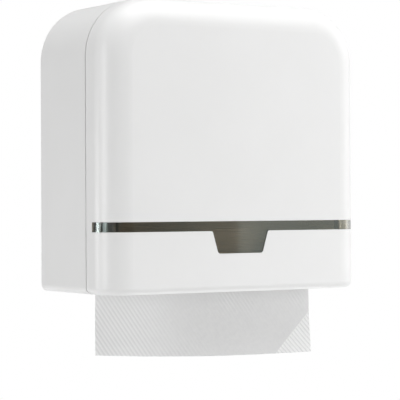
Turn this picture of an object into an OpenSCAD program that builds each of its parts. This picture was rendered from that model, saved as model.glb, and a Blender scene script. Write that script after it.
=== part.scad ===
// Wall-mounted dispenser for folded paper towels.
// A white rear housing is screwed to the wall and carries an outlet tray with the towel stack.
// The front cover hinges at its lower edge, and a key lock in the housing's top holds it shut.
// X runs to the right seen from the room, Y runs towards the wall, Z runs up. Millimetres.
// The origin lies on the back face, in the middle of the wall screw pattern.

/* [Case] */
// Width of the case
case_w = 263; // [250:1:290]
// Height of the case
case_h = 252; // [236:1:300]
// Depth of the closed case, from the wall to the front face
case_d = 120; // [118:1:134]
// Depth of the rear housing, from the wall to the seam
seam_d = 82; // [80:1:84]
// Radius of the two upper corners, seen from the front
top_r = 51; // [40:1:64]
// Radius of the cover's front edge along its sides and top
front_r = 24; // [18:1:26]
// Radius of the case's lower edge, which also runs round the cover's two front corners
lower_r = 6; // [5:0.5:8]
// Thickness of the moulded walls
wall = 2.5; // [2:0.1:3]
// Thickness of the back wall
back_wall = 3; // [2.5:0.1:4]
// Open seam between the rear housing and the cover
seam_gap = 1; // [0.4:0.1:1.4]
// Length of the housing's inner lip in front of the seam
lip_l = 3; // [2:0.5:4]
// Thickness of the ribs behind the stack
rib_t = 2; // [1.5:0.1:2.5]
// Distance of the outer ribs from the towels' edges
rib_in = 28.5; // [20:0.5:40]

/* [Wall screws] */
// Spacing of the wall screw holes along X
screw_dx = 180; // [150:1:190]
// Spacing of the wall screw holes along Z
screw_dz = 140; // [110:1:150]
// Diameter of the wall screw holes
screw_d = 5.5; // [4.5:0.1:6.5]

/* [Window] */
// Height of the window strip
strip_h = 8.4; // [6:0.1:12]
// Lower edge of the window strip above the case's lower edge
strip_z = 52.8; // [50:0.1:64]
// Depth of the strip's ends behind the wall plane
strip_end = 92.5; // [90:0.5:95]
// Width of the tab where it leaves the strip
tab_w = 57.6; // [48:0.2:70]
// Width of the tab at its lower edge
tab_w_low = 46; // [30:0.2:46]
// Depth of the tab below the strip
tab_h = 19.4; // [12:0.2:24]
// Radius of the tab's corners
tab_r = 3; // [2:0.5:4]
// Radius of the hollow corners between the strip and the tab
hollow_r = 2; // [1:0.5:3]
// Gap round the window in its opening
window_gap = 0.15; // [0.1:0.05:0.3]
// Thickness of the window's inner flange
flange_t = 1.6; // [1.2:0.1:2]

/* [Hinge] */
// Distance of the hinge axis from the cover's lower and rear edges
hinge_e = 6; // [5.6:0.1:6.4]
// Diameter of the hinge pins
pin_d = 4; // [3:0.1:4.4]
// Running clearance of the pins in the cover, on the radius
pin_play = 0.05; // [0.02:0.01:0.08]

/* [Tray] */
// Height of the tray's floor above the case's lower edge
tray_z = 17; // [16:0.5:20]
// Thickness of the tray's walls
tray_t = 2.5; // [2:0.1:3]
// Width of the outlet slot, front to back
slot_w = 36; // [28:1:40]
// Margin of the housing's lower opening behind the slot
mouth = 16; // [12:1:20]
// Height of the guides at the stack's sides
guide_h = 46; // [30:1:60]
// Diameter of the tray screws
tray_screw_d = 3; // [2.5:0.1:3.2]
// Depth of the tray screws in their bosses
tray_bite = 7; // [5:0.5:8]

/* [Towels] */
// Room between the outer side of the case and the towels
side_room = 19; // [18.5:0.5:30]
// Room between the front face and the folded stack
front_room = 16; // [16:0.5:22]
// Room between the wall plane and the folded stack
rear_room = 24; // [20:0.5:28]
// Height of the folded stack
stack_h = 132; // [60:1:150]
// Length of towel below the stack, measured near its sides
sheet_l = 75.7; // [60:0.1:90]
// Further length of the towel at the middle of its lower edge
sheet_sag = 2.4; // [0:0.1:4]
// Lean of the towel, which is drawn out further at its right side
towel_tilt = 1.8; // [0:0.1:2.5]
// Bow of the towel's lower edge towards the room
towel_bow = 4.5; // [0:0.5:8]
// Place down the right edge where the corner's crease begins
crease_v = 38.6; // [30:0.1:50]
// Direction across the crease, from the sheet's width towards its length
crease_a = 45.5; // [30:0.1:50]
// Angle by which the corner is turned up
crease_b = 5; // [0:1:50]
// Thickness of the hanging towel
sheet_t = 0.5; // [0.4:0.1:0.8]

/* [Lock] */
// Depth of the lock's axis behind the wall plane
lock_y = 58; // [56:0.5:59]
// Diameter of the lock body
lock_d = 18; // [16:0.5:19]
// Length of the lock body below the case's top
lock_l = 14; // [13:0.5:16]
// Reach of the hook cam, from the lock's axis to the keeper post
cam_reach = 18; // [18:0.5:19]
// Radius of the hook cam's hub
cam_r = 9; // [8:0.1:9]
// Width of the hook cam's arm
cam_w = 6.2; // [5:0.1:6.2]
// Width of the hook at the arm's end
hook_w = 4; // [3:0.1:5]
// Thickness of the hook cam
cam_t = 2; // [1.5:0.1:2.5]
// Width of the plug's square end
drive_w = 6; // [5:0.1:6]
// Distance of the keeper screws in front of the seam
keeper_set = 7.5; // [7.5:0.1:9]
// Spacing of the keeper screws
keeper_dx = 20; // [18:0.5:30]
// Length of the keeper plate beyond its screws
keeper_over = 5; // [4:0.5:8]
// Width of the keeper plate
keeper_w = 8; // [7:0.1:8]
// Thickness of the keeper plate
keeper_t = 1.5; // [1:0.1:2]
// Diameter of the keeper post
post_d = 4; // [3.5:0.1:4]
// Diameter of the keeper screws
keeper_screw_d = 2.5; // [2:0.1:2.8]

/* [Hidden] */
$fn = 96;
hw = case_w / 2;
z_top = case_h / 2;
z_bot = -case_h / 2;
y_house = -(seam_d - seam_gap / 2);
y_cover = -(seam_d + seam_gap / 2);
// hinge axis
axis_y = -(seam_d + hinge_e);
axis_z = z_bot + hinge_e;
trim_r = hinge_e - seam_gap / 2;
lug_r = hinge_e - 1.5;
lug_x0 = hw - 15;
lug_x1 = hw - 10;
boss_x0 = lug_x1 + 0.5;
pin_end = hw - 4.2;
// window
strip_z0 = z_bot + strip_z;
strip_z1 = strip_z0 + strip_h;
tab_z = strip_z0 - tab_h;
flange_w = 3;
stake_out = hw - 33.5;
stake_in = tab_w / 2 + 23.2;
stake_x = [-stake_out, -stake_in, stake_in, stake_out];
// towels
towel_w = case_w - 2 * side_room;
stack_d = case_d - front_room - rear_room;
towel_y = rear_room + stack_d / 2;
stack_y1 = -rear_room;
stack_y0 = -(case_d - front_room);
rib_dx = (towel_w / 2 - rib_in) / 2;
// tray
tray_bot = z_bot + tray_z;
tray_top = tray_bot + tray_t;
tray_hw = hw - wall - 3.5;
tray_front = stack_y0 - 4;
tray_cr = front_r - 6;
slot_y0 = -(towel_y + slot_w / 2);
slot_y1 = -(towel_y - slot_w / 2);
slot_hw = towel_w / 2 + 2.5;
guide_x = slot_hw + 0.5;
rail_x = hw - 12.5;
tray_screw_x = hw - 9.2;
tray_screw_y = [-16, -(seam_d - 11)];
// stack and sheet
stack_z0 = tray_top + 0.2;
sheet_top = tray_top - 0.6;
// lock
lock_ax = -lock_y;
washer_z = z_top - wall - 1;
nut_z = washer_z - 4;
body_z = z_top - lock_l;
plug_r = lock_d / 2 - 3;
cam_z1 = body_z - 1.2;
cam_z0 = cam_z1 - cam_t;
hook_x = cam_reach + post_d / 2 + 0.6;
hook_y = -(post_d / 2 + 1.5);
post_y = lock_ax - cam_reach;
post_r = post_d / 2;
rivet_r = post_r * 0.74;
keeper_z1 = nut_z - 0.8;
keeper_z0 = keeper_z1 - keeper_t;
keeper_hl = keeper_dx / 2 + keeper_over;
keeper_screw_x = keeper_dx / 2;
keeper_screw_y = -(seam_d + keeper_set);
keeper_screw_r = keeper_screw_d / 2;
tray_screw_r = tray_screw_d / 2;

white = [0.93, 0.93, 0.92];
steel = [0.72, 0.73, 0.75];

// Solids drawn in the X-Z plane, from y0 to y1
module along_y(y0, y1) {
  translate([0, y1, 0]) rotate([90, 0, 0]) linear_extrude(y1 - y0) children();
}

// Solids drawn in the Y-Z plane, from x0 to x1
module along_x(x0, x1) {
  translate([x0, 0, 0]) rotate([90, 0, 90]) linear_extrude(x1 - x0) children();
}

// Box between two corners
module box(lo, hi) {
  translate(lo) cube(hi - lo);
}

module quarter_disc(r) {
  intersection() {
    circle(r);
    square(r);
  }
}

// Rectangle with its two upper corners rounded by rt and its two lower corners by rb
module round_frame(w, b, t, rt, rb) {
  translate([-w, b + rb]) square([2 * w, t - rt - b - rb]);
  translate([-(w - rt), t - rt]) square([2 * (w - rt), rt]);
  translate([-(w - rb), b]) square([2 * (w - rb), rb]);
  for (s = [0, 1]) mirror([s, 0]) {
    translate([w - rt, t - rt]) quarter_disc(rt);
    translate([w - rb, b + rb]) mirror([0, 1]) quarter_disc(rb);
  }
}

// Front view of the case, drawn in by an inset
module case_outline(inset) {
  round_frame(hw - inset, z_bot + inset, z_top - inset, top_r - inset, lower_r - inset);
}

// Rectangle from the origin with its far corner rounded
module soft_corner(w, h, r) {
  square([w, h - r]);
  translate([0, h - r]) square([w - r, r]);
  translate([w - r, h - r]) quarter_disc(r);
}

// Plan view of the cover, drawn in by an inset and open to the rear at y
module cover_plan(inset, y) {
  d = case_d - inset;
  w = hw - inset;
  for (s = [0, 1]) mirror([s, 0]) translate([0, y]) mirror([0, 1]) soft_corner(w, d + y, front_r - inset);
}

// Outer form of the cover, drawn in by an inset and open to the rear at y
module cover_form(inset, y) {
  w = hw - inset;
  b = z_bot + inset;
  d = case_d - inset;
  rt = top_r - inset;
  f = front_r - inset;
  r = lower_r - inset;
  split = z_top - top_r;
  // height at which the rounded lower band ends
  band = b + r + 1;
  translate([0, 0, band]) linear_extrude(split - band) cover_plan(inset, y);
  // lower band along the front, the sides and the two corners between them
  along_x(-(w - f), w - f) translate([-(d - f), band]) rotate(180) soft_corner(f, r + 1, r);
  for (s = [0, 1]) mirror([s, 0, 0]) {
    along_y(-(d - f), y) translate([0, band]) mirror([0, 1]) soft_corner(w, r + 1, r);
    translate([w - f, -(d - f), band]) mirror([0, 0, 1]) rotate(-90)
      rotate_extrude(angle = 90) soft_corner(f, r + 1, r);
  }
  // upper edge along the front and the two corners
  along_x(-(w - rt), w - rt) translate([y, split]) mirror([1, 0]) soft_corner(d + y, rt, f);
  for (s = [0, 1]) mirror([s, 0, 0]) translate([w - rt, 0, split])
    rotate([90, 0, 0]) translate([0, 0, -y]) rotate_extrude(angle = 90) soft_corner(rt, d + y, f);
}

// Ring of the cover's wall in plan, between two insets
module wall_ring(a, b) {
  difference() {
    cover_plan(a, -strip_end);
    cover_plan(b, -strip_end + 1);
  }
}

// Tab of the window with round lower corners, drawn in the X-Z plane and grown by g
module tab_shape(g) {
  r = tab_r + g;
  hi = tab_w / 2 + g;
  lo = tab_w_low / 2 + g;
  z0 = tab_z - g;
  lean = atan2(tab_w / 2 - tab_w_low / 2, tab_h);
  // distance from the sharp corner to the points where the round corner begins
  t = r * tan((90 - lean) / 2);
  side = [sin(lean), cos(lean)];
  for (s = [0, 1]) mirror([s, 0]) {
    polygon([[0, strip_z0 + 1], [hi, strip_z0 + 1], [hi, strip_z0], [lo + t * side[0], z0 + t * side[1]],
             [lo - t, z0], [0, z0]]);
    translate([lo - t, z0 + r]) circle(r);
  }
}

// Tab with the hollow corners where it leaves the strip
module tab_face(g) {
  tab_shape(g);
  r = hollow_r - g;
  lean = atan2(tab_w / 2 - tab_w_low / 2, tab_h);
  t = r * tan(45 - lean / 2);
  corner = [tab_w / 2 + g - g * tan(lean), strip_z0 - g];
  for (s = [0, 1]) mirror([s, 0]) difference() {
    polygon([corner + [-1, 1], corner + [t, 1], corner + [t, 0], corner - t * [sin(lean), cos(lean)],
             corner - t * [sin(lean), cos(lean)] - [1, 0]]);
    translate(corner + [t, -r]) circle(r);
  }
}

// Pan head screw with its head's seat at the origin and its shank down
module pan_screw(head_r, head_h, shank_r, shank_l) {
  translate([0, 0, -shank_l]) cylinder(r = shank_r, h = shank_l + 0.1);
  difference() {
    cylinder(r = head_r, h = head_h);
    translate([0, 0, head_h * 0.6]) for (a = [0, 90]) rotate(a)
      translate([-head_r * 0.6, -head_r * 0.14, 0]) cube([head_r * 1.2, head_r * 0.28, head_h]);
  }
}

module hinge_lug() {
  difference() {
    union() {
      along_x(lug_x0, lug_x1) {
        translate([axis_y, axis_z]) circle(lug_r);
        translate([axis_y, axis_z - lug_r]) square([hinge_e + 12, 2 * lug_r]);
      }
      intersection() {
        box([lug_x0, y_house + 0.7, axis_z - lug_r], [hw - wall + 0.5, y_house + 14, axis_z + lug_r]);
        along_y(-seam_d, 0) case_outline(wall / 2);
      }
    }
    along_x(lug_x0 - 1, lug_x1 + 1) translate([axis_y, axis_z]) circle(pin_d / 2 + 0.02);
  }
}

module rear_housing() {
  color(white) {
    difference() {
      union() {
        // shell
        difference() {
          along_y(y_house, 0) case_outline(0);
          along_y(y_house - 1, -back_wall) case_outline(wall);
        }
        // inner lip that covers the seam
        difference() {
          along_y(y_house, y_house + 8) case_outline(wall - 0.2);
          along_y(y_house - 1, y_house + 9) case_outline(wall + 1.5);
          box([-hw, y_house - 2, z_bot - 1], [hw, 0, tray_top + 8]);
        }
        difference() {
          along_y(-(seam_d + lip_l), y_house + 1) case_outline(wall + 0.3);
          along_y(-(seam_d + lip_l) - 1, y_house + 9) case_outline(wall + 1.5);
          box([-hw, y_house - lip_l - 2, z_bot - 1], [hw, 0, tray_top + 8]);
        }
        // ribs behind the stack
        for (i = [-2:2]) translate([i * rib_dx, 0, 0])
          box([-rib_t / 2, stack_y1 + 1.5, tray_top + 3], [rib_t / 2, -back_wall + 0.5, z_top - top_r]);
        // rails and bosses for the tray
        for (s = [0, 1]) mirror([s, 0, 0]) {
          box([rail_x, y_house + 2, tray_bot - 3], [hw - wall + 0.5, -back_wall + 0.5, tray_bot]);
          for (y = tray_screw_y)
            translate([tray_screw_x, y, tray_bot - tray_bite - 2])
              cylinder(r = tray_screw_r + 2, h = tray_bite + 1);
          hinge_lug();
        }
        // pads round the wall screw holes
        for (x = [-1, 1], z = [-1, 1]) along_y(-back_wall - 2, -back_wall + 0.5)
          translate([x * screw_dx / 2, z * screw_dz / 2]) circle(7);
        // stiffening ring under the lock
        translate([0, lock_ax, z_top - wall - 0.5]) difference() {
          cylinder(r = lock_d / 2 + 7, h = 1);
          translate([0, 0, -1]) cylinder(r = lock_d / 2 + 5, h = 3);
        }
      }
      // wall screw holes
      for (x = [-1, 1], z = [-1, 1]) along_y(-back_wall - 4, 1)
        translate([x * screw_dx / 2, z * screw_dz / 2]) circle(screw_d / 2);
      // bores for the tray screws
      for (x = [-1, 1], y = tray_screw_y)
        translate([x * tray_screw_x, y, tray_bot - tray_bite - 1])
          cylinder(r = tray_screw_r + 0.05, h = tray_bite + 5);
      // lower opening for the towel
      box([-lug_x0, y_house - 1, z_bot - 1], [lug_x0, slot_y1 + mouth, z_bot + wall + 1]);
      // opening for the lock, with two flats
      translate([0, lock_ax, z_top - wall - 2]) linear_extrude(wall + 4) intersection() {
        circle(lock_d / 2 + 0.2);
        square([lock_d + 2, lock_d - 1.6], center = true);
      }
    }
  }
}

module tray_plan() {
  for (s = [0, 1]) mirror([s, 0]) translate([0, -back_wall - 1]) mirror([0, 1])
    soft_corner(tray_hw, -back_wall - 1 - tray_front, tray_cr);
}

module outlet_tray() {
  color([0.86, 0.86, 0.85]) difference() {
    union() {
      translate([0, 0, tray_bot]) linear_extrude(tray_t) tray_plan();
      // rounded lips of the slot
      for (y = [slot_y0, slot_y1]) along_x(-slot_hw, slot_hw) translate([y, tray_top - 2.5]) circle(2.5);
      // side guides of the stack
      for (s = [0, 1]) mirror([s, 0, 0])
        box([guide_x, stack_y0 - 1, tray_top - 0.5], [guide_x + 2, stack_y1 + 1, tray_top + guide_h]);
      // front upstand
      box([-guide_x - 2, stack_y0 - 3, tray_top - 0.5], [guide_x + 2, stack_y0 - 1, tray_top + 14]);
    }
    box([-slot_hw, slot_y0, tray_bot - 5], [slot_hw, slot_y1, tray_top + 5]);
    for (x = [-1, 1], y = tray_screw_y)
      translate([x * tray_screw_x, y, tray_bot - 1]) cylinder(r = tray_screw_r + 0.2, h = tray_t + 2);
  }
}

module tray_screws() {
  color(steel) for (x = [-1, 1], y = tray_screw_y)
    translate([x * tray_screw_x, y, tray_top])
      pan_screw(tray_screw_r * 1.93, tray_screw_r * 4 / 3, tray_screw_r, tray_t + tray_bite);
}

module hinge_pin() {
  along_x(lug_x0, pin_end) translate([axis_y, axis_z]) circle(pin_d / 2);
  along_x(lug_x0 - 1.2, lug_x0) translate([axis_y, axis_z]) circle(pin_d / 2 + 1.2);
}

module right_hinge_pin() {
  color(steel) hinge_pin();
}

module left_hinge_pin() {
  color(steel) mirror([1, 0, 0]) hinge_pin();
}

module front_cover() {
  color(white) {
    difference() {
      union() {
        difference() {
          cover_form(0, y_cover);
          cover_form(wall, y_cover + 1);
        }
        // hinge bosses
        intersection() {
          for (s = [0, 1]) mirror([s, 0, 0])
            along_x(boss_x0, hw) translate([axis_y, axis_z]) circle(hinge_e - 1);
          along_y(-case_d, y_cover) case_outline(0.6);
        }
        // bosses for the keeper
        for (x = [-1, 1]) translate([x * keeper_screw_x, keeper_screw_y, keeper_z1])
          cylinder(r = keeper_screw_r + 1.95, h = z_top - wall / 2 - keeper_z1);
        // stakes that hold the window
        for (x = stake_x, z = [strip_z0 - flange_w - 2, strip_z1 + flange_w + 2])
          translate([x, -(case_d - wall / 2), z]) rotate([-90, 0, 0]) {
            cylinder(r = 1.5, h = wall / 2 + flange_t + 0.4);
            translate([0, 0, wall / 2 + flange_t + 0.3]) cylinder(r = 2.8, h = 1.2);
          }
      }
      // rounded lower rear edge that turns past the housing
      difference() {
        box([-hw - 1, axis_y, z_bot - 1], [hw + 1, y_cover + 2, axis_z]);
        along_x(-hw - 2, hw + 2) translate([axis_y, axis_z]) circle(trim_r);
      }
      // notches for the lugs of the housing
      for (s = [0, 1]) mirror([s, 0, 0])
        box([lug_x0 - 2, axis_y - lug_r - 0.6, z_bot - 1], [boss_x0, y_cover + 1, z_bot + wall + 2]);
      // bores for the hinge pins
      for (s = [0, 1]) mirror([s, 0, 0])
        along_x(boss_x0 - 1, pin_end + 0.3) translate([axis_y, axis_z]) circle(pin_d / 2 + pin_play);
      // bores for the keeper screws
      for (x = [-1, 1]) translate([x * keeper_screw_x, keeper_screw_y, keeper_z1 - 1])
        cylinder(r = keeper_screw_r + 0.05, h = z_top - wall - keeper_z1 + 0.5);
      // opening for the window
      box([-hw - 1, -case_d - 1, strip_z0], [hw + 1, -strip_end, strip_z1]);
      along_y(-case_d - 1, -case_d + wall + 0.1) tab_face(0);
    }
  }
}

module window() {
  color([0.24, 0.22, 0.19, 0.8]) difference() {
    union() {
      // face that fills the opening
      translate([0, 0, strip_z0 + window_gap]) linear_extrude(strip_h - 2 * window_gap) difference() {
        wall_ring(0, wall + 0.3);
        translate([-hw - 1, -strip_end - window_gap]) square([case_w + 2, 5]);
      }
      along_y(-case_d, -(case_d - wall - 0.3)) tab_face(-window_gap);
      // flange behind the cover's wall
      translate([0, 0, strip_z0 - flange_w - 4]) linear_extrude(strip_h + 2 * flange_w + 8)
        wall_ring(wall + 0.1, wall + flange_t);
      along_y(-(case_d - wall - 0.1), -(case_d - wall - flange_t)) tab_shape(flange_w);
    }
    // holes for the stakes
    for (x = stake_x, z = [strip_z0 - flange_w - 2, strip_z1 + flange_w + 2])
      along_y(-case_d + wall, -case_d + wall + 4) translate([x, z]) circle(1.6);
  }
}

module towel_stack() {
  color([0.95, 0.95, 0.94])
    box([-towel_w / 2, stack_y0, stack_z0], [towel_w / 2, stack_y1, stack_z0 + stack_h]);
}

module lock_body() {
  color([0.8, 0.8, 0.82]) translate([0, lock_ax, 0]) difference() {
    union() {
      translate([0, 0, z_top]) cylinder(r = lock_d / 2 + 2.5, h = 1.8);
      translate([0, 0, body_z]) linear_extrude(z_top - body_z + 0.1) intersection() {
        circle(lock_d / 2);
        square([lock_d + 2, lock_d - 2], center = true);
      }
    }
    translate([0, 0, body_z - 1]) cylinder(r = plug_r + 0.06, h = lock_l + 4);
    // recess that lets the stop washer turn a quarter turn
    rotate([0, 0, 165]) translate([0, 0, body_z - 1]) rotate_extrude(angle = 121)
      translate([plug_r - 0.5, 0]) square([2.2, 3]);
  }
}

module lock_washer() {
  color(steel) translate([0, lock_ax, washer_z]) difference() {
    cylinder(r = lock_d / 2 + 3.5, h = 1);
    translate([0, 0, -1]) cylinder(r = lock_d / 2 + 0.3, h = 3);
  }
}

module lock_nut() {
  color(steel) translate([0, lock_ax, nut_z]) difference() {
    cylinder(r = lock_d / 2 + 3.6, h = 4, $fn = 6);
    translate([0, 0, -1]) cylinder(r = lock_d / 2 + 0.05, h = 6);
  }
}

module lock_plug() {
  color([0.78, 0.78, 0.8]) translate([0, lock_ax, 0]) difference() {
    union() {
      translate([0, 0, body_z - 0.1]) cylinder(r = plug_r, h = z_top + 1.9 - body_z);
      translate([-drive_w / 2, -drive_w / 2, cam_z0]) cube([drive_w, drive_w, body_z - cam_z0]);
    }
    translate([-0.8, -4, z_top - 6]) cube([1.6, 8, 12]);
    translate([0, 0, cam_z0 - 1]) cylinder(r = 1.55, h = 8);
  }
}

// Washer that turns with the plug; its tooth meets the ends of the recess in the lock body
module stop_washer() {
  color(steel) translate([0, lock_ax, body_z - 1.1]) difference() {
    union() {
      cylinder(r = plug_r + 1.8, h = 1);
      rotate([0, 0, 256]) rotate_extrude(angle = 28) translate([plug_r + 0.4, 0.5]) square([1, 2.2]);
    }
    translate([0, 0, 0.5]) cube([drive_w + 0.1, drive_w + 0.1, 3], center = true);
    translate([0, 0, 1]) cylinder(r = plug_r + 0.3, h = 3);
  }
}

// Hook cam, drawn as it stands unlocked, with its arm along X
module lock_cam() {
  color(steel) translate([0, lock_ax, cam_z0]) linear_extrude(cam_t) difference() {
    union() {
      circle(cam_r);
      translate([0, cam_r - cam_w]) square([hook_x + hook_w, cam_w]);
      translate([hook_x, hook_y]) square([hook_w, cam_r - hook_y]);
    }
    square(drive_w + 0.1, center = true);
  }
}

module cam_screw() {
  color(steel) translate([0, lock_ax, cam_z0]) rotate([180, 0, 0]) pan_screw(4.5, 2.4, 1.5, 6);
}

module keeper_plate() {
  color(steel) difference() {
    union() {
      translate([-keeper_hl, keeper_screw_y - keeper_w / 2, keeper_z0])
        cube([2 * keeper_hl, keeper_w, keeper_t]);
      translate([-post_d * 1.25, keeper_screw_y, keeper_z0])
        cube([post_d * 2.5, post_y - keeper_screw_y, keeper_t]);
      translate([0, post_y, keeper_z0]) cylinder(r = post_r * 1.8, h = keeper_t);
    }
    for (x = [-1, 1]) translate([x * keeper_screw_x, keeper_screw_y, keeper_z0 - 1])
      cylinder(r = keeper_screw_r + 0.25, h = keeper_t + 2);
    translate([0, post_y, keeper_z0 - 1]) cylinder(r = rivet_r + 0.02, h = keeper_t + 2);
  }
}

module keeper_post() {
  color(steel) translate([0, post_y, 0]) {
    translate([0, 0, cam_z0 - 2]) cylinder(r = post_r, h = keeper_z0 - cam_z0 + 2);
    translate([0, 0, keeper_z0 - 0.1]) cylinder(r = rivet_r, h = keeper_t + 0.2);
  }
}

module keeper_screws() {
  color(steel) for (x = [-1, 1]) translate([x * keeper_screw_x, keeper_screw_y, keeper_z0])
    rotate([180, 0, 0])
      pan_screw(keeper_screw_r * 2.08, keeper_screw_r * 1.44, keeper_screw_r, keeper_t + 3.5);
}

// Middle of the hanging towel at u across and v down it; the lower right corner is turned up along a crease
function turned(u, v) = max(0, (u - towel_w / 2) * cos(crease_a) + (v - crease_v) * sin(crease_a));
function sheet_x(u, v) = u * cos(towel_tilt) - v * sin(towel_tilt)
  - (1 - cos(crease_b)) * turned(u, v) * cos(crease_a);
function sheet_z(u, v) = sheet_top - u * sin(towel_tilt) - v * cos(towel_tilt)
  + (1 - cos(crease_b)) * turned(u, v) * sin(crease_a);
function sheet_y(u, v) = -towel_y - towel_bow * pow(max(0, v) / sheet_l, 1.5)
  - 1.2 * sin(1.3 * u + 40) * v / sheet_l - sin(crease_b) * turned(u, v);

module towel_sheet() {
  nx = 36;
  nv = 14;
  row = nx + 1;
  n = row * (nv + 1);
  us = [for (i = [0:nx]) -towel_w / 2 + towel_w * i / nx];
  // the upper edge lies level under the stack
  top = [for (u = us) -u * tan(towel_tilt)];
  low = [for (u = us) sheet_l + sheet_sag * (1 - pow(2 * u / towel_w, 2))];
  mid = [for (j = [0:nv], i = [0:nx]) let(v = top[i] + (low[i] - top[i]) * j / nv)
    [sheet_x(us[i], v), sheet_y(us[i], v), sheet_z(us[i], v)]];
  front = [for (p = mid) p - [0, sheet_t / 2, 0]];
  back = [for (p = mid) p + [0, sheet_t / 2, 0]];
  faces = concat(
    [for (j = [0:nv - 1], i = [0:nx - 1]) let(a = j * row + i) [a, a + 1, a + row]],
    [for (j = [0:nv - 1], i = [0:nx - 1]) let(a = j * row + i) [a + 1, a + row + 1, a + row]],
    [for (j = [0:nv - 1], i = [0:nx - 1]) let(a = n + j * row + i) [a, a + row, a + 1]],
    [for (j = [0:nv - 1], i = [0:nx - 1]) let(a = n + j * row + i) [a + 1, a + row, a + row + 1]],
    [for (i = [0:nx - 1]) [i, n + i, n + i + 1]],
    [for (i = [0:nx - 1]) [i, n + i + 1, i + 1]],
    [for (i = [0:nx - 1]) let(a = nv * row + i) [a, a + 1, n + a + 1]],
    [for (i = [0:nx - 1]) let(a = nv * row + i) [a, n + a + 1, n + a]],
    [for (j = [0:nv - 1]) let(a = j * row) [a, a + row, n + a + row]],
    [for (j = [0:nv - 1]) let(a = j * row) [a, n + a + row, n + a]],
    [for (j = [0:nv - 1]) let(a = j * row + nx) [a, n + a, n + a + row]],
    [for (j = [0:nv - 1]) let(a = j * row + nx) [a, n + a + row, a + row]]);
  color([0.94, 0.94, 0.94]) polyhedron(points = concat(front, back), faces = faces);
}

rear_housing();
outlet_tray();
tray_screws();
left_hinge_pin();
right_hinge_pin();
lock_body();
lock_washer();
lock_nut();
towel_stack();
front_cover();
window();
keeper_plate();
keeper_post();
keeper_screws();
lock_plug();
stop_washer();
lock_cam();
cam_screw();
towel_sheet();
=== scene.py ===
"""Looks of a wall-mounted dispenser for folded paper towels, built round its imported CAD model."""

import math

import bpy
import numpy as np
from mathutils import Matrix, Vector


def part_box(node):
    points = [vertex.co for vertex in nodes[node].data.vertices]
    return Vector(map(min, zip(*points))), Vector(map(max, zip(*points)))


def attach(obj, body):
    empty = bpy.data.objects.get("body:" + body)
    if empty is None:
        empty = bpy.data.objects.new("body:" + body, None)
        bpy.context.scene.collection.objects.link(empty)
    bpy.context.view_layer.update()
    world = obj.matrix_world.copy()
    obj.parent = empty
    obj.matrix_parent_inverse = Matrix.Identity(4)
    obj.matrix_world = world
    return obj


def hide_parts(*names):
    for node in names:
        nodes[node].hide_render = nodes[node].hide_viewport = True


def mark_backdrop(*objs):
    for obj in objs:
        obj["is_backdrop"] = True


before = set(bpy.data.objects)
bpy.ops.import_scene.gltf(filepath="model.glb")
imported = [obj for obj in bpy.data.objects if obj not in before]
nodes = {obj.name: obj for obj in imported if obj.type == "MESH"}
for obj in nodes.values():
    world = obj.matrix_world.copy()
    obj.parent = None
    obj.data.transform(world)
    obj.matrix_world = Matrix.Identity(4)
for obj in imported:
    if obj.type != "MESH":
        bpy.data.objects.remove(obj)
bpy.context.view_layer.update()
MM = 0.001


# Node helpers

def new_material(name):
    """A node material with its tree and its Principled shader."""
    material = bpy.data.materials.new(name)
    material.use_nodes = True
    tree = material.node_tree
    return material, tree, tree.nodes["Principled BSDF"]


def add(tree, kind, settings=None, **inputs):
    """A new node with attributes from settings and input values by name, spaces written as underscores."""
    node = tree.nodes.new(kind)
    for key, value in (settings or {}).items():
        setattr(node, key, value)
    for key, value in inputs.items():
        node.inputs[key.replace("_", " ")].default_value = value
    return node


def object_coordinates(tree, scale=(1, 1, 1)):
    """Coordinates in metres that ride with the piece, stretched by scale."""
    source = add(tree, "ShaderNodeTexCoord")
    mapping = add(tree, "ShaderNodeMapping", Scale=scale)
    tree.links.new(source.outputs["Object"], mapping.inputs["Vector"])
    return mapping.outputs["Vector"]


def noise(tree, vector, scale, detail=2.0, rough=0.5):
    """Values of a noise texture whose features are about 1/scale metres wide."""
    node = add(tree, "ShaderNodeTexNoise", Scale=scale, Detail=detail, Roughness=rough)
    tree.links.new(vector, node.inputs["Vector"])
    return node.outputs["Fac"]


def spread(tree, value, low, high, start=0.3, end=0.7):
    """Maps a value from start..end to low..high."""
    node = add(tree, "ShaderNodeMapRange", None, From_Min=start, From_Max=end, To_Min=low, To_Max=high)
    tree.links.new(value, node.inputs["Value"])
    return node.outputs["Result"]


def blend_colours(tree, value, first, second, start=0.3, end=0.7):
    """A colour that goes from first to second as a value goes from start to end."""
    ramp = add(tree, "ShaderNodeValToRGB")
    ramp.color_ramp.elements[0].position = start
    ramp.color_ramp.elements[0].color = (*first, 1)
    ramp.color_ramp.elements[1].position = end
    ramp.color_ramp.elements[1].color = (*second, 1)
    tree.links.new(value, ramp.inputs["Fac"])
    return ramp.outputs["Color"]


def mix_colours(tree, factor, first, second):
    """A colour that goes from first, the output of a node, to a fixed second one."""
    mix = add(tree, "ShaderNodeMix", {"data_type": "RGBA"})
    tree.links.new(factor, mix.inputs["Factor"])
    tree.links.new(first, mix.inputs["A"])
    mix.inputs["B"].default_value = (*second, 1)
    return mix.outputs["Result"]


def combine(tree, operation, *values):
    """Result of a calculation with values that are numbers or outputs of nodes."""
    node = add(tree, "ShaderNodeMath", {"operation": operation})
    for socket, value in zip(node.inputs, values):
        if isinstance(value, float):
            socket.default_value = value
        else:
            tree.links.new(value, socket)
    return node.outputs["Value"]


def from_mesh(tree, name):
    """Values that the mesh carries under a name."""
    return add(tree, "ShaderNodeAttribute", {"attribute_name": name}).outputs["Fac"]


def along_x(tree, vector):
    """First number of a vector."""
    split = add(tree, "ShaderNodeSeparateXYZ")
    tree.links.new(vector, split.inputs["Vector"])
    return split.outputs["X"]


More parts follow.
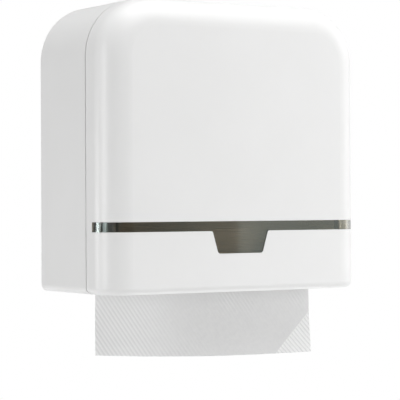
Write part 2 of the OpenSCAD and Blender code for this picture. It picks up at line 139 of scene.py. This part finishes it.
def bump(tree, height, distance, strength, normal=None):
    """A normal from a height that is distance metres deep."""
    node = add(tree, "ShaderNodeBump", Strength=strength, Distance=distance)
    tree.links.new(height, node.inputs["Height"])
    if normal is not None:
        tree.links.new(normal, node.inputs["Normal"])
    return node.outputs["Normal"]


def soft_edges(tree, radius):
    """A normal that rounds sharp edges by a small radius."""
    return add(tree, "ShaderNodeBevel", {"samples": 6}, Radius=radius).outputs["Normal"]


# Materials

def moulded_plastic(name, dark, light, rough, grain, edge):
    """Satin moulded plastic with a fine etched grain, faint flow marks and slightly rounded edges."""
    material, tree, shader = new_material(name)
    where = object_coordinates(tree)
    tone = noise(tree, where, 16, 3.0)
    etched = noise(tree, where, 2600, 2.0, 0.6)
    flow = noise(tree, object_coordinates(tree, (1, 1, 0.35)), 55, 4.0)
    tree.links.new(blend_colours(tree, tone, dark, light), shader.inputs["Base Color"])
    tree.links.new(spread(tree, flow, rough - 0.03, rough + 0.04), shader.inputs["Roughness"])
    rounded = soft_edges(tree, edge * MM)
    tree.links.new(bump(tree, etched, 0.05 * MM, grain, rounded), shader.inputs["Normal"])
    shader.inputs["IOR"].default_value = 1.5
    return material


def smoked_plastic():
    """Clear brown plastic with faint waves from moulding, painted greyer where its ends turn round the
    corners as a painted reflection.
    """
    material, tree, shader = new_material("smoked_window")
    where = object_coordinates(tree)
    streaks = noise(tree, object_coordinates(tree, (0.3, 1, 1)), 60, 3.0)
    brown = blend_colours(tree, streaks, (0.395, 0.345, 0.267), (0.465, 0.41, 0.327))
    from_middle = combine(tree, "ABSOLUTE", along_x(tree, where))
    # painted reflection: from 114 to 126 mm out from the middle, the window's ends turn grey for the cool
    # reflections they show
    painted_end_reflection = spread(tree, from_middle, 0.0, 1.0, 114 * MM, 126 * MM)
    tint = mix_colours(tree, painted_end_reflection, brown, (0.40, 0.41, 0.395))
    tree.links.new(tint, shader.inputs["Base Color"])
    tree.links.new(spread(tree, noise(tree, where, 900), 0.02, 0.05), shader.inputs["Roughness"])
    tree.links.new(bump(tree, streaks, 0.02 * MM, 0.3), shader.inputs["Normal"])
    shader.inputs["IOR"].default_value = 1.49
    shader.inputs["Transmission Weight"].default_value = 1.0
    shader.inputs["Specular Tint"].default_value = (0.84, 1.0, 0.97, 1)
    return material


def metal(name, dark, light, rough, stretch, scale):
    """Metal with a fine directional grain, an uneven tone and slightly rounded edges."""
    material, tree, shader = new_material(name)
    where = object_coordinates(tree)
    grain = noise(tree, object_coordinates(tree, stretch), scale, 4.0)
    patches = noise(tree, where, 420, 3.0)
    tree.links.new(blend_colours(tree, patches, dark, light), shader.inputs["Base Color"])
    tree.links.new(spread(tree, grain, rough - 0.06, rough + 0.08), shader.inputs["Roughness"])
    tree.links.new(bump(tree, grain, 0.02 * MM, 0.25, soft_edges(tree, 0.2 * MM)), shader.inputs["Normal"])
    shader.inputs["Metallic"].default_value = 1.0
    return material


def pressed_lines(tree, colour, normal):
    """Colour and normal of paper with lines pressed into it, where and as deep as its mesh says. The lines
    are painted paler as a painted highlight on their ridges, and the mesh's tone adds painted light.
    """
    wave = combine(tree, "SINE", from_mesh(tree, "phase"))
    lines = combine(tree, "MULTIPLY", wave, from_mesh(tree, "hatch"))
    # painted highlight and painted light: the lines and the places marked by the mesh's tone are mixed
    # towards white
    painted_light = combine(tree, "MULTIPLY_ADD", lines, 0.28, from_mesh(tree, "tone"))
    relief = combine(tree, "ADD", lines, from_mesh(tree, "lean"))
    colour = mix_colours(tree, painted_light, colour, (0.99, 0.99, 0.99))
    return colour, bump(tree, relief, 0.12 * MM, 0.6, normal)


def towel_paper(name, hatched):
    """Soft tissue paper with matted fibres and cloudy density, hatched where lines are pressed into it, with
    painted highlights and painted light on the hatched sheet.
    """
    material, tree, shader = new_material(name)
    where = object_coordinates(tree)
    clouds = noise(tree, where, 260, 4.0, 0.6)
    fibres = noise(tree, object_coordinates(tree, (1, 1, 0.4)), 3200, 3.0, 0.65)
    colour = blend_colours(tree, clouds, (0.772, 0.772, 0.772), (0.812, 0.812, 0.809))
    normal = bump(tree, fibres, 0.06 * MM, 0.5)
    if hatched:
        colour, normal = pressed_lines(tree, colour, normal)
    tree.links.new(colour, shader.inputs["Base Color"])
    tree.links.new(spread(tree, fibres, 0.86, 0.98), shader.inputs["Roughness"])
    tree.links.new(normal, shader.inputs["Normal"])
    shader.inputs["Specular IOR Level"].default_value = 0.2
    shader.inputs["Sheen Weight"].default_value = 0.1
    shader.inputs["Sheen Roughness"].default_value = 0.6
    return material


white_abs = moulded_plastic("white_abs", (0.807, 0.807, 0.803), (0.82, 0.82, 0.817), 0.36, 0.22, 0.7)
tray_abs = moulded_plastic("tray_abs", (0.74, 0.74, 0.73), (0.78, 0.78, 0.77), 0.46, 0.35, 0.4)
smoked_window = smoked_plastic()
zinc_steel = metal("zinc_steel", (0.50, 0.51, 0.53), (0.66, 0.67, 0.68), 0.34, (1, 1, 0.15), 1500)
lock_chrome = metal("lock_chrome", (0.70, 0.70, 0.72), (0.78, 0.78, 0.80), 0.14, (1, 1, 0.2), 2200)
paper = towel_paper("towel_paper", False)
hatched_paper = towel_paper("hatched_paper", True)

FINISHES = {
    white_abs: ["rear_housing", "front_cover"],
    tray_abs: ["outlet_tray"],
    smoked_window: ["window"],
    zinc_steel: ["tray_screws", "left_hinge_pin", "right_hinge_pin", "lock_washer", "lock_nut",
                 "stop_washer", "lock_cam", "cam_screw", "keeper_plate", "keeper_post", "keeper_screws"],
    lock_chrome: ["lock_body", "lock_plug"],
    paper: ["towel_stack", "towel_sheet"],
}
for material, names in FINISHES.items():
    for name in names:
        mesh = nodes[name].data
        mesh.materials.clear()
        mesh.materials.append(material)


# Meshes

def make_piece(name, points, faces, material):
    """A smooth mesh object from points in metres."""
    mesh = bpy.data.meshes.new(name)
    mesh.from_pydata(points.tolist(), [], faces.tolist())
    mesh.materials.append(material)
    mesh.shade_smooth()
    piece = bpy.data.objects.new(name, mesh)
    bpy.context.scene.collection.objects.link(piece)
    return piece


def grid_faces(number):
    """Quads between points whose numbers stand in rows and columns."""
    quads = [number[:-1, :-1], number[:-1, 1:], number[1:, 1:], number[1:, :-1]]
    return np.stack(quads, -1).reshape(-1, 4)


def smooth_step(value, low, high):
    """Rises smoothly from 0 at low to 1 at high."""
    t = np.clip((value - low) / (high - low), 0, 1)
    return t * t * (3 - 2 * t)


# Hanging towel: the CAD sheet's own form, with the emboss that the real towel has and painted light on parts
# of it. Millimetres.

# width, length at the sides, and how much longer the middle is
TOWEL_W, SHEET_L, SAG = 225.0, 75.7, 2.4
# distance from the wall, and heights of the outlet and of the sheet's upper edge
TOWEL_Y, OUTLET_Z, SHEET_TOP = 64.0, -107.1, -106.55
# half the thickness, turn in its own plane, and how far the lower edge comes forward
HALF_THICK, TILT, BOW = 0.14, math.radians(1.8), 4.5
# where the crease starts on the right edge, its slant, and how far the corner is turned forward
CREASE_V, CREASE_SLANT, CREASE_TURN = 38.6, math.radians(45.5), math.radians(5)


def towel_point(u, v):
    """Middle of the hanging towel at u across it and v down it, and how far this lies past the crease."""
    over = (u - TOWEL_W / 2) * math.cos(CREASE_SLANT) + (v - CREASE_V) * math.sin(CREASE_SLANT)
    turned = np.maximum(0, over)
    short = (1 - math.cos(CREASE_TURN)) * turned
    x = u * math.cos(TILT) - v * math.sin(TILT) - short * math.cos(CREASE_SLANT)
    z = OUTLET_Z - u * math.sin(TILT) - v * math.cos(TILT) + short * math.sin(CREASE_SLANT)
    y = -TOWEL_Y - BOW * (np.maximum(0, v) / SHEET_L) ** 1.5
    y = y - 1.2 * np.sin(np.radians(1.3 * u + 40)) * v / SHEET_L - math.sin(CREASE_TURN) * turned
    return np.stack([x, y, z], -1), over


def patch(u, v, centre, reach):
    """A soft round spot, 1 at its centre."""
    return np.exp(-((u - centre[0]) / reach[0]) ** 2 - ((v - centre[1]) / reach[1]) ** 2)


def hatch_depth(u, v, over):
    """How deep the diagonal lines are pressed: most on the turned corner, then at the left and in spots. The
    same depth sets how strongly the lines take their painted highlight.
    """
    left = (1 - smooth_step(u, -80, -25)) * (0.3 + 0.7 * smooth_step(v, 18, 42))
    low = 0.5 * (1 - smooth_step(u, -50, 20)) * smooth_step(v, 55, 75)
    spots = 0.75 * patch(u, v, (24, 29), (9, 9)) + 0.6 * patch(u, v, (45, 33), (7, 6))
    spots = spots + 0.45 * patch(u, v, (98, 27), (9, 6))
    return 0.1 + 0.9 * np.maximum.reduce([left, low, spots, 3.3 * smooth_step(over, -0.5, 1.5)])


def hatch_phase(x, z, over):
    """Angle of the wave that makes the lines: they run down to the right, flatter on the turned corner."""
    return np.where(over > 0, 1.4 * x + 1.24 * z, 1.55 * x + 1.09 * z)


def painted_paper_light(u, v, over):
    """How much painted light the paper gets, for light that falls on it: most on the turned corner, then at
    the left and near the outlet.
    """
    left = 0.58 * (1 - smooth_step(u, -85, 5)) + 0.32 * (1 - smooth_step(v, 4, 50))
    return np.maximum(left, smooth_step(over, -0.3, 0.8))


def corner_lean(over):
    """Height whose fall past the crease leans the turned corner towards the lower right."""
    return -5.5 * np.maximum(0, over)


def hanging_towel():
    """The sheet as a front and a back face, joined round the rim."""
    columns, rows = 226, 84
    u = np.linspace(-TOWEL_W / 2, TOWEL_W / 2, columns)[None, :].repeat(rows, 0)
    top = -u[0] * math.tan(TILT) - (SHEET_TOP - OUTLET_Z)
    low = SHEET_L + SAG * (1 - (2 * u[0] / TOWEL_W) ** 2)
    v = top + (low - top) * np.linspace(0, 1, rows)[:, None]
    middle, over = towel_point(u, v)
    normal = np.cross(np.gradient(middle, axis=0), np.gradient(middle, axis=1))
    normal /= np.linalg.norm(normal, axis=-1, keepdims=True)
    cockle = 0.22 * np.sin(u / 9.0 + 1.1 * np.sin(v / 17.0)) * np.sin(v / 13.0 + 0.6) * smooth_step(v, 4, 30)
    front = middle + normal * (cockle[..., None] + HALF_THICK)
    back = middle + normal * (cockle[..., None] - HALF_THICK)
    count = rows * columns
    quads = grid_faces(np.arange(count).reshape(rows, columns))
    rim = np.concatenate([
        np.arange(columns), np.arange(1, rows) * columns + columns - 1,
        count - 2 - np.arange(columns - 1), np.arange(rows - 2, 0, -1) * columns])
    ahead = np.roll(rim, -1)
    edge = np.stack([rim, ahead, ahead + count, rim + count], -1)
    points = np.concatenate([front.reshape(-1, 3), back.reshape(-1, 3)]) * MM
    faces = np.concatenate([quads[:, ::-1], quads + count, edge])
    piece = make_piece("hanging_towel", points, faces, hatched_paper)
    values = {
        "hatch": hatch_depth(u, v, over),
        "phase": hatch_phase(middle[..., 0], middle[..., 2], over),
        # painted light: tone makes the turned corner, the left and the top near the outlet paler
        "tone": painted_paper_light(u, v, over),
        "lean": corner_lean(over),
    }
    for name, value in values.items():
        attribute = piece.data.attributes.new(name, "FLOAT", "POINT")
        attribute.data.foreach_set("value", np.tile(value.ravel(), 2).astype(np.float32))
    return piece


# Folded stack: layer upon layer of towels, inside the block that the CAD has for them. Millimetres.

# layers, and rings of points in each
LAYERS, STEPS = 84, 6
# points along the front and along a side
PER_X, PER_Y = 90, 32


def layer_levels(rng):
    """Height of each ring from 0 to 1, the layer it belongs to, and its place within that layer."""
    thick = rng.uniform(0.8, 1.2, LAYERS)
    joints = np.concatenate([[0], np.cumsum(thick)]) / thick.sum()
    within = np.linspace(0, 1, STEPS, endpoint=False)
    levels = np.append(joints[:-1, None] + np.diff(joints)[:, None] * within, 1)
    rings = np.arange(len(levels))
    return levels, np.minimum(rings // STEPS, LAYERS - 1), (rings % STEPS) / STEPS


def layer_outline():
    """Outline of a layer from -1 to 1 both ways, counted round from the left front corner."""
    xs, ys = np.linspace(-1, 1, PER_X), np.linspace(-1, 1, PER_Y)
    return np.concatenate([
        np.stack([xs[:-1], -np.ones(PER_X - 1)], -1), np.stack([np.ones(PER_Y - 1), ys[:-1]], -1),
        np.stack([xs[:0:-1], np.ones(PER_X - 1)], -1), np.stack([-np.ones(PER_Y - 1), ys[:0:-1]], -1)])


def fold_depth(rng, ring, folded, layer, within):
    """How far each point lies inside the block: folds swell and draw in, the cut sides stay nearly flush."""
    swell = np.sqrt(np.clip(1 - (2 * within - 1) ** 2, 0, 1))[:, None]
    offset = rng.uniform(0, 1, (LAYERS, 4))
    phase = rng.uniform(0, 2 * math.pi, (LAYERS, 4))
    side = np.select([ring[:, 1] < -0.999, ring[:, 0] > 0.999, ring[:, 1] > 0.999], [0, 1, 2], 3)
    along = np.where(folded, ring[:, 0], ring[:, 1])
    wave = 0.35 * np.sin(along * 5.0 + phase[layer][:, side])
    uneven = offset[layer][:, side]
    folds = 0.35 + 1.1 * uneven + wave + 0.8 * (1 - swell)
    cut_sides = 0.15 + 0.35 * uneven + 0.3 * (1 - swell)
    return np.clip(np.where(folded, folds, cut_sides), 0.05, 2.6)


def stack_walls():
    """Points and faces round the stack, the plan of each ring, and the block's two corners."""
    rng = np.random.default_rng(7)
    low, high = (np.array(corner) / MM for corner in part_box("towel_stack"))
    levels, layer, within = layer_levels(rng)
    ring = layer_outline()
    folded = np.abs(ring[:, 1]) > 0.999
    depth = fold_depth(rng, ring, folded, layer, within)
    inward = np.stack([np.where(folded, 0, -ring[:, 0]), np.where(folded, -ring[:, 1], 0)], -1)
    block = (high + low)[:2] / 2 + ring * (high - low)[:2] / 2
    plan = block + inward * depth[..., None]
    # paper never lies quite flat: the layers ripple along the front, most at half height
    ripple = 0.55 * np.sin(ring[:, 0] * 9 + 0.8) + 0.4 * np.sin(ring[:, 0] * 17 + ring[:, 1] * 2)
    rise = levels[:, None]
    z = low[2] + rise * (high[2] - low[2]) + ripple * 4 * rise * (1 - rise)
    points = np.concatenate([plan, z[..., None]], -1).reshape(-1, 3)
    number = np.arange(len(points)).reshape(len(levels), len(ring))
    return points, grid_faces(np.concatenate([number, number[:, :1]], 1)), plan, low, high


def cap(outline, start, first, z_edge, sink, up):
    """New points and the faces of a grid that closes one end of the stack.

    The rim of the grid is the outline, whose points are numbered from start, and its middle lies sink off
    the edge. The new points are numbered from first.
    """
    right, back, left = PER_X - 1, PER_X + PER_Y - 2, 2 * PER_X + PER_Y - 3
    rim = np.full((PER_Y, PER_X), -1)
    rim[0, :-1] = np.arange(PER_X - 1)
    rim[:-1, -1] = right + np.arange(PER_Y - 1)
    rim[-1, :0:-1] = back + np.arange(PER_X - 1)
    rim[:0:-1, 0] = left + np.arange(PER_Y - 1)
    edge = outline[rim]
    s, t = np.linspace(0, 1, PER_X)[None, :, None], np.linspace(0, 1, PER_Y)[:, None, None]
    plan = (1 - t) * edge[:1] + t * edge[-1:] + (1 - s) * edge[:, :1] + s * edge[:, -1:]
    for corner, share in (((0, 0), (1 - s) * (1 - t)), ((0, -1), s * (1 - t)),
                          ((-1, 0), (1 - s) * t), ((-1, -1), s * t)):
        plan = plan - share * edge[corner]
    x, y = 2 * s[..., 0] - 1, 2 * t[..., 0] - 1
    z = z_edge + sink * (1 - x ** 8) * (1 - y ** 8) * (1 + 0.4 * np.sin(4 * x + 1) * np.cos(3 * y))
    inside = rim < 0
    points = np.concatenate([plan, z[..., None]], -1)[inside]
    number = start + rim
    number[inside] = first + np.arange(inside.sum())
    faces = grid_faces(number)
    return points, faces if up else faces[:, ::-1]


def folded_stack():
    """The stack of folded towels: its walls with a cap above and below."""
    walls, wall_faces, plan, low, high = stack_walls()
    count = len(walls)
    top, top_faces = cap(plan[-1], count - plan.shape[1], count, high[2], -0.45, True)
    bottom, bottom_faces = cap(plan[0], 0, count + len(top), low[2], 0.05, False)
    points = np.concatenate([walls, top, bottom]) * MM
    return make_piece("folded_towels", points, np.concatenate([wall_faces, top_faces, bottom_faces]), paper)


stack = folded_stack()
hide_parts("towel_stack")
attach(stack, "housing")

towel = hanging_towel()
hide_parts("towel_sheet")
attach(towel, "towel")


# Floor, light and camera

def pale_floor():
    """Large pale disc below the object that fades into the white surroundings."""
    material, tree, shader = new_material("pale_floor")
    where = object_coordinates(tree)
    tone = blend_colours(tree, noise(tree, where, 7, 3.0), (0.82, 0.82, 0.82), (0.85, 0.85, 0.85))
    tree.links.new(tone, shader.inputs["Base Color"])
    shader.inputs["Roughness"].default_value = 0.8
    white = add(tree, "ShaderNodeEmission", Color=(1, 1, 1, 1), Strength=1.0)
    mix = add(tree, "ShaderNodeMixShader")
    distance = add(tree, "ShaderNodeVectorMath", {"operation": "LENGTH"})
    tree.links.new(where, distance.inputs[0])
    fade = spread(tree, distance.outputs["Value"], 0.0, 1.0, 0.3, 0.9)
    tree.links.new(fade, mix.inputs["Fac"])
    tree.links.new(shader.outputs["BSDF"], mix.inputs[1])
    tree.links.new(white.outputs["Emission"], mix.inputs[2])
    tree.links.new(mix.outputs["Shader"], tree.nodes["Material Output"].inputs["Surface"])
    radius, sides = 1.6, 96
    angle = np.linspace(0, 2 * math.pi, sides, endpoint=False)
    points = np.stack([radius * np.cos(angle), radius * np.sin(angle), np.zeros(sides)], -1)
    floor = make_piece("floor", points, np.arange(sides)[None, :], material)
    floor.location = (0, -0.06, -0.42)
    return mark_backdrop(floor)


def studio_world(ambient, left, right, above):
    """White to the camera, ambient as a light, and in gloss as bright as left, right and above say."""
    world = bpy.data.worlds.new("studio")
    world.use_nodes = True
    bpy.context.scene.world = world
    tree = world.node_tree
    background = tree.nodes["Background"]
    path = add(tree, "ShaderNodeLightPath")
    direction = add(tree, "ShaderNodeTexCoord").outputs["Generated"]
    sideways = spread(tree, along_x(tree, direction), left, right, 0.48, 0.535)
    upward = add(tree, "ShaderNodeVectorMath", {"operation": "DOT_PRODUCT"})
    upward.inputs[1].default_value = (0, 0.6, 0.8)
    tree.links.new(direction, upward.inputs[0])
    overhead = spread(tree, upward.outputs["Value"], 0.0, above, 0.6, 0.8)
    gloss = combine(tree, "MAXIMUM", sideways, overhead)
    seen = combine(tree, "MAXIMUM", path.outputs["Is Camera Ray"], path.outputs["Is Transmission Ray"])
    lit = add(tree, "ShaderNodeMix", {"data_type": "FLOAT"}, A=ambient)
    tree.links.new(path.outputs["Is Glossy Ray"], lit.inputs["Factor"])
    tree.links.new(gloss, lit.inputs["B"])
    final = add(tree, "ShaderNodeMix", {"data_type": "FLOAT"}, B=1.0)
    tree.links.new(seen, final.inputs["Factor"])
    tree.links.new(lit.outputs["Result"], final.inputs["A"])
    tree.links.new(final.outputs["Result"], background.inputs["Strength"])
    background.inputs["Color"].default_value = (1, 1, 1, 1)


def softbox(name, place, target, width, height, power):
    """Rectangular area lamp that faces a target."""
    lamp = bpy.data.lights.new(name, "AREA")
    lamp.shape = "RECTANGLE"
    lamp.size, lamp.size_y = width, height
    lamp.energy = power
    holder = bpy.data.objects.new(name, lamp)
    bpy.context.scene.collection.objects.link(holder)
    holder.location = place
    holder.rotation_mode = "QUATERNION"
    holder.rotation_quaternion = (Vector(target) - Vector(place)).to_track_quat("-Z", "Y")
    return holder


def photo_camera():
    """Camera at the photograph's place: 1.5 m from the front, turned 32 degrees to the left side."""
    yaw, pitch, roll = (math.radians(angle) for angle in (32.31, -0.09, -0.25))
    forward = Vector((math.sin(yaw) * math.cos(pitch), math.cos(yaw) * math.cos(pitch), -math.sin(pitch)))
    level = Vector((math.cos(yaw), -math.sin(yaw), 0))
    upright = level.cross(forward)
    right = math.cos(roll) * level + math.sin(roll) * upright
    up = math.cos(roll) * upright - math.sin(roll) * level
    data = bpy.data.cameras.new("photo_camera")
    data.sensor_width, data.lens = 36, 158.25
    data.clip_start, data.clip_end = 0.1, 20
    camera = bpy.data.objects.new("photo_camera", data)
    bpy.context.scene.collection.objects.link(camera)
    turn = Matrix((right, up, -forward)).transposed().to_4x4()
    camera.matrix_world = Matrix.Translation((-0.84327, -1.38778, -0.04882)) @ turn
    bpy.context.scene.camera = camera


pale_floor()
studio_world(0.15, 0.1, 0.95, 0.35)
softbox("front_right", (1.0554, -1.02, 0.05), (0.0, -0.10, 0.0), 0.80, 1.2, 3.45)
softbox("left_strip", (-1.5, -0.1, 0.05), (-0.1, -0.1, 0.0), 0.45, 0.9, 6.6)
softbox("left_back", (-1.17, 0.68, -0.07), (-0.131, -0.1, -0.07), 0.34, 0.11, 1.8)
softbox("top", (0.0, -0.25, 1.4), (0.0, -0.06, 0.0), 1.2, 1.0, 13.8)
softbox("top_front", (0.2, -0.9, 1.1), (0.0, -0.06, 0.0), 1.2, 0.8, 7.9)
softbox("right", (1.4, -0.35, 0.1), (0.1, -0.06, 0.0), 0.6, 1.3, 4.1)
softbox("back", (0.0, 1.3, 0.1), (0.0, 0.0, 0.0), 0.2, 0.6, 2.6)
softbox("under", (0.165, -0.01, -0.40), (0.165, -0.01, 0.0), 0.33, 0.2, 0.25)
softbox("low_front", (0.3, -1.0, -0.36), (0.0, -0.08, -0.15), 1.2, 0.3, 2.6)
photo_camera()
bpy.context.scene.view_settings.view_transform = "Standard"
